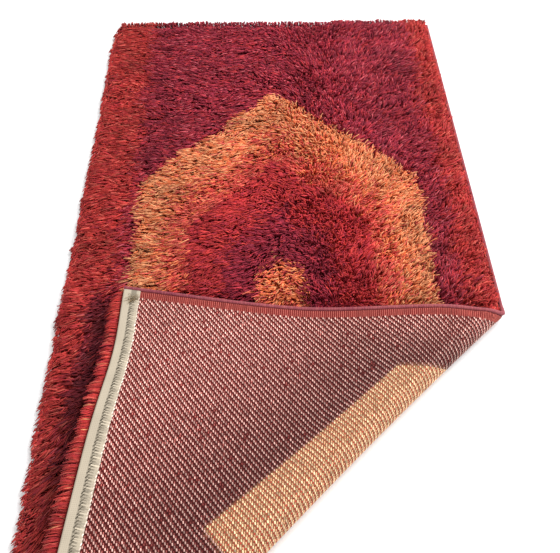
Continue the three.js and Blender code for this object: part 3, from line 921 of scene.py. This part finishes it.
def add_pile():
    rng = np.random.default_rng(SEEDS["pile"])
    x, y = strand_roots(rng)
    spine, cell_x, cell_y = pile_shape(x, y, rng)
    colour = pile_colour(x, y, cell_x, cell_y, rng)
    spread = STRAND_SPREAD["radius"] * rng.normal(size=len(x)).clip(*SPREAD_LIMITS)
    radius = STRAND_RADIUS * (1 + spread)
    turned = fold_place(x, y)[0] > 0
    zones = {"pile_turned_corner": turned}
    for name, (start, end) in PILE_ZONES.items():
        zones[name] = ~turned & (y >= start) & (y < end)
    pieces = {}
    for name, at in zones.items():
        part = [places[at] for places in spine]
        pieces[name] = strand_piece(name, part, radius[at], colour[at], rng, "pile_wool")
    return pieces


# The back of the turned corner: rows of knots, and ribs next to the overcasting

def knot_yarns(kinds, x, y, rng):
    """Colours on the back, for a pale, a bright and a dark knot, in warmer tones on the medallion. Off the
    medallion a dark knot is painted shade.
    """
    ring = ring_at(x, y)[:, None]
    far = smoothstep(ring, *BACK_CHANGES)
    wool = mix(YARN_TABLE[yarn_at(x, y, rng)], LINEAR["red"], BACK_RED) * mix(*BACK["wool"], far)
    field = [
        mix(wool, LINEAR["cream"], mix(*BACK["pale"], far)),
        mix(wool, LINEAR["cream"], mix(*BACK["bright"], far)) * BRIGHT_LEVEL,
        # Off the medallion a dark knot is nearly black, painted shade of the hollow between knots
        wool * mix(*BACK["dark"], far),
    ]
    medallion = [
        LINEAR["straw"],
        mix(LINEAR["straw"], LINEAR["gold"], MEDALLION_BACK["bright_gold"]),
        LINEAR["red"] * MEDALLION_BACK["dark_red"],
    ]
    tones = [np.where(ring < 1, *pair) for pair in zip(medallion, field)]
    mixed = np.where(kinds[:, None] == 0, tones[0], np.where(kinds[:, None] == 1, tones[1], tones[2]))
    spread = (1 + KNOT_TONES["spread"] * rng.normal(size=len(x))).clip(*KNOT_TONES["limits"])
    return mixed * spread[:, None]


def add_knots():
    """The knots that show on the back, with a pale one at every third place of each row."""
    columns = np.arange(math.ceil(-HALF_WIDTH / KNOT_PITCH), HALF_WIDTH / KNOT_PITCH)
    rows = np.arange(math.ceil(-HALF_LENGTH / KNOT_PITCH), HALF_LENGTH / KNOT_PITCH)
    i, j = (a.ravel().astype(int) for a in np.meshgrid(columns, rows, indexing="ij"))
    x, y = i * KNOT_PITCH, j * KNOT_PITCH
    turned = fold_place(x, y)[0] > KNOTS_PAST_FOLD
    shown = turned & (x < HALF_WIDTH - SELVEDGE) & (y > TAPE_WIDTH + TAPE_INSET - HALF_LENGTH)
    i, j, x, y = (a[shown] for a in (i, j, x, y))
    rng = np.random.default_rng(SEEDS["knots"])
    kinds = np.where(rng.uniform(size=len(x)) < KNOTS_OUT_OF_TURN, 1, (i + j) % len(KNOTS))
    tones = knot_yarns(kinds, x, y, rng)
    jitter = KNOT_JITTER * rng.normal(size=(2, len(x)))
    half_length, half_width, height = (
        column(KNOTS, name, kinds) for name in ("half_length", "half_width", "height")
    )
    x, y = x + jitter[0], y + jitter[1]
    points = ridge_points(x, y, half_length, half_width, WOVEN_LEVEL, height, KNOT_TURN)
    return ridge_piece("back_knots", points, tones, "knot_wool")


def add_selvedge():
    """Fine ribs across the back's edge, next to the overcasting."""
    y = np.arange(TAPE_WIDTH + 2 * TAPE_INSET - HALF_LENGTH, FOLD_START - RIBS_BEFORE_FOLD, RIB_PITCH)
    x = np.full_like(y, HALF_WIDTH - SELVEDGE / 2)
    rng = np.random.default_rng(SEEDS["ribs"])
    kinds = np.arange(len(y)) % len(RIBS)
    pale = mix(LINEAR["coral"], LINEAR["cream"], RIB_TONES["cream"]) * RIB_TONES["pale_level"]
    tones = np.where((kinds == 0)[:, None], pale, LINEAR["red"] * RIB_TONES["dark_level"])
    tones = tones * (1 + RIB_TONES["spread"] * rng.normal(size=len(y)))[:, None]
    half_width, height = (column(RIBS, name, kinds) for name in ("half_width", "height"))
    points = ridge_points(x, y, SELVEDGE / 2, half_width, WOVEN_LEVEL, height, 0.0)
    return ridge_piece("selvedge_ribs", points, tones, "knot_wool")


# The overcast long edges

def add_overcast(name, side, wrap):
    """Yarn wrapped round a long edge, side -1 at the left or 1 at the right, in wraps of that length."""
    radius = (ROLL_OUT - HALF_WIDTH) / 2
    centre = side * (HALF_WIDTH + ROLL_GAP + radius)
    end = HALF_LENGTH - ROLL_SHORTER
    count = round(2 * end / wrap) * WRAP_STEPS + 1
    y = np.linspace(-end, end, count)
    turn = np.linspace(0, 2 * math.pi, ROLL_SIDES, endpoint=False)
    bulge = 1 - GROOVE_DEPTH * np.abs(np.cos(np.arange(count) * math.pi / WRAP_STEPS))
    grid_y = y[:, None] + GROOVE_SLANT * wrap * np.sin(turn)[None]
    grid_x = centre + radius * bulge[:, None] * np.cos(turn)[None]
    grid_w = radius + radius * bulge[:, None] * np.sin(turn)[None]
    raised = ROLL_RAISED * smoothstep(fold_place(grid_x, grid_y)[0], 0, BEND_LENGTH)
    points = folded(grid_x.ravel(), grid_y.ravel(), (grid_w - raised).ravel())
    index = np.arange(count * ROLL_SIDES).reshape(count, ROLL_SIDES)
    a, b = index[:-1], np.roll(index, -1, 1)[:-1]
    quads = np.stack([a, b, b + ROLL_SIDES, a + ROLL_SIDES], -1).reshape(-1, 4)
    loops = np.concatenate([quads.ravel(), index[0], index[-1][::-1]])
    sizes = np.concatenate([np.full(len(quads), 4), [ROLL_SIDES, ROLL_SIDES]])
    wraps = np.arange(count) // WRAP_STEPS
    draw = np.random.default_rng(SEEDS["overcast"]).uniform(size=wraps.max() + 1)[wraps]
    purple = 0.5 + drift("overcast", np.zeros(count), y)
    tone = mix(LINEAR["mauve"], LINEAR["grape"], ((draw + purple) / 2)[:, None])
    # Painted shade in the grooves between wraps, painted light on their crests
    shade = GROOVE_PAINTED_SHADE["times"] * bulge - GROOVE_PAINTED_SHADE["less"]
    colours = np.repeat(tone * shade[:, None], ROLL_SIDES, 0)
    return mesh_piece(name, points, loops, sizes, colours, "overcast_yarn")


# Cotton tape on the back of the ends

def add_tape(name, side, step):
    """A thin strip of cotton, side -1 at the near end or 1 at the far one."""
    xs = np.linspace(-HALF_WIDTH, HALF_WIDTH, round(2 * HALF_WIDTH / step) + 1)
    depths = np.linspace(0, 1, TAPE_ROWS + 1)
    x, depth = (a.ravel() for a in np.meshgrid(xs, depths, indexing="ij"))
    y = side * (HALF_LENGTH - TAPE_INSET - depth * TAPE_WIDTH)
    lower = -TAPE_RAISED * smoothstep(fold_place(x, y)[0], 0, TAPE_RAISED_BY)
    upper = np.full_like(x, TAPE_THICKNESS - TAPE_GAP)
    points = np.concatenate([folded(x, y, lower), folded(x, y, upper)])
    stitched = smoothstep(depth, *STITCHED_FROM) * (1 - smoothstep(depth, *STITCHED_TO))
    tone = mix(LINEAR["thread"], LINEAR["taupe"], STITCHED_TAUPE * stitched[:, None])
    colours = np.tile(tone * (1 + drift("tape", x, y))[:, None], (2, 1))
    quads = sheet_quads(len(xs), len(depths))
    if side > 0:
        quads = quads[:, ::-1]
    flat = np.tile(np.stack([x, y, lower], -1), (2, 1))
    sizes = np.full(len(quads), 4)
    return mesh_piece(name, points, quads.ravel(), sizes, colours, "woven_cotton", flat)


def add_stitches():
    """The overlock stitches on the near tape, but for those in the bend's first half and under the rug."""
    rng = np.random.default_rng(SEEDS["stitches"])
    points, tones = [], []
    for row in STITCH_ROWS:
        x = np.arange(STITCH_ENDS[0] - HALF_WIDTH, HALF_WIDTH - STITCH_ENDS[1], row["pitch"])
        x = x[fold_place(x, -HALF_LENGTH)[0] > TAPE_RAISED_BY]
        x = x + STITCH_JITTER["along"] * rng.normal(size=len(x))
        y = row["depth"] + TAPE_INSET - HALF_LENGTH + STITCH_JITTER["across"] * rng.normal(size=len(x))
        turn = math.radians(row["turn"])
        points.append(ridge_points(x, y, row["long"], row["wide"], STITCH_LEVEL, STITCH_HEIGHT, turn))
        tones.append(LINEAR[row["yarn"]] * (1 + STITCH_TONE_SPREAD * rng.normal(size=len(x)))[:, None])
    return ridge_piece("tape_stitches", np.concatenate(points), np.concatenate(tones), "tape_cotton")


def add_fray():
    """The thread's tangled end at the tape's corner, with a few loose tails."""
    rng = np.random.default_rng(SEEDS["fray"])
    count = FRAY_STRANDS + len(FRAY_TAILS)
    centre = np.array([HALF_WIDTH - FRAY_PLACE[0], FRAY_PLACE[1] - HALF_LENGTH])
    spine = []
    for spread in FRAY_SPREAD:
        place = centre + spread * rng.normal(size=(count, 2)).clip(*FRAY_SPREAD_LIMITS)
        spine.append(np.column_stack([place, -TAPE_RAISED - rng.uniform(*FRAY_HEIGHTS, count)]))
    root, bend, tip = spine
    for i, tail in enumerate(FRAY_TAILS, FRAY_STRANDS):
        root[i, :2] = centre
        bend[i, :2] = centre + TAIL_BEND * np.array(tail) + TAIL_STRAYS * rng.normal(size=2)
        tip[i, :2] = centre + np.array(tail)
    colour = LINEAR["fray"] * rng.uniform(*FRAY_TONES, count)[:, None]
    return strand_piece("tape_fray", spine, np.full(count, FRAY_RADIUS), colour, rng, "tape_cotton")


add_camera()
add_studio()
ground = add_ground()
pile = add_pile()
knots = add_knots()
selvedge = add_selvedge()
overcast_left = add_overcast("overcast_left", -1, WRAPS["left"])
overcast_right = add_overcast("overcast_right", 1, WRAPS["right"])
tape_near = add_tape("tape_near", -1, TAPE_STEPS["near"])
tape_far = add_tape("tape_far", 1, TAPE_STEPS["far"])
stitches = add_stitches()
fray = add_fray()

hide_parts("rug_body")
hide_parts("edge_binding_left")
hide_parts("edge_binding_right")
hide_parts("end_tape_near")
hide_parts("end_tape_far")
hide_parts("pile_locks_left")
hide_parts("pile_locks_near")
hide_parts("pile_locks_far")
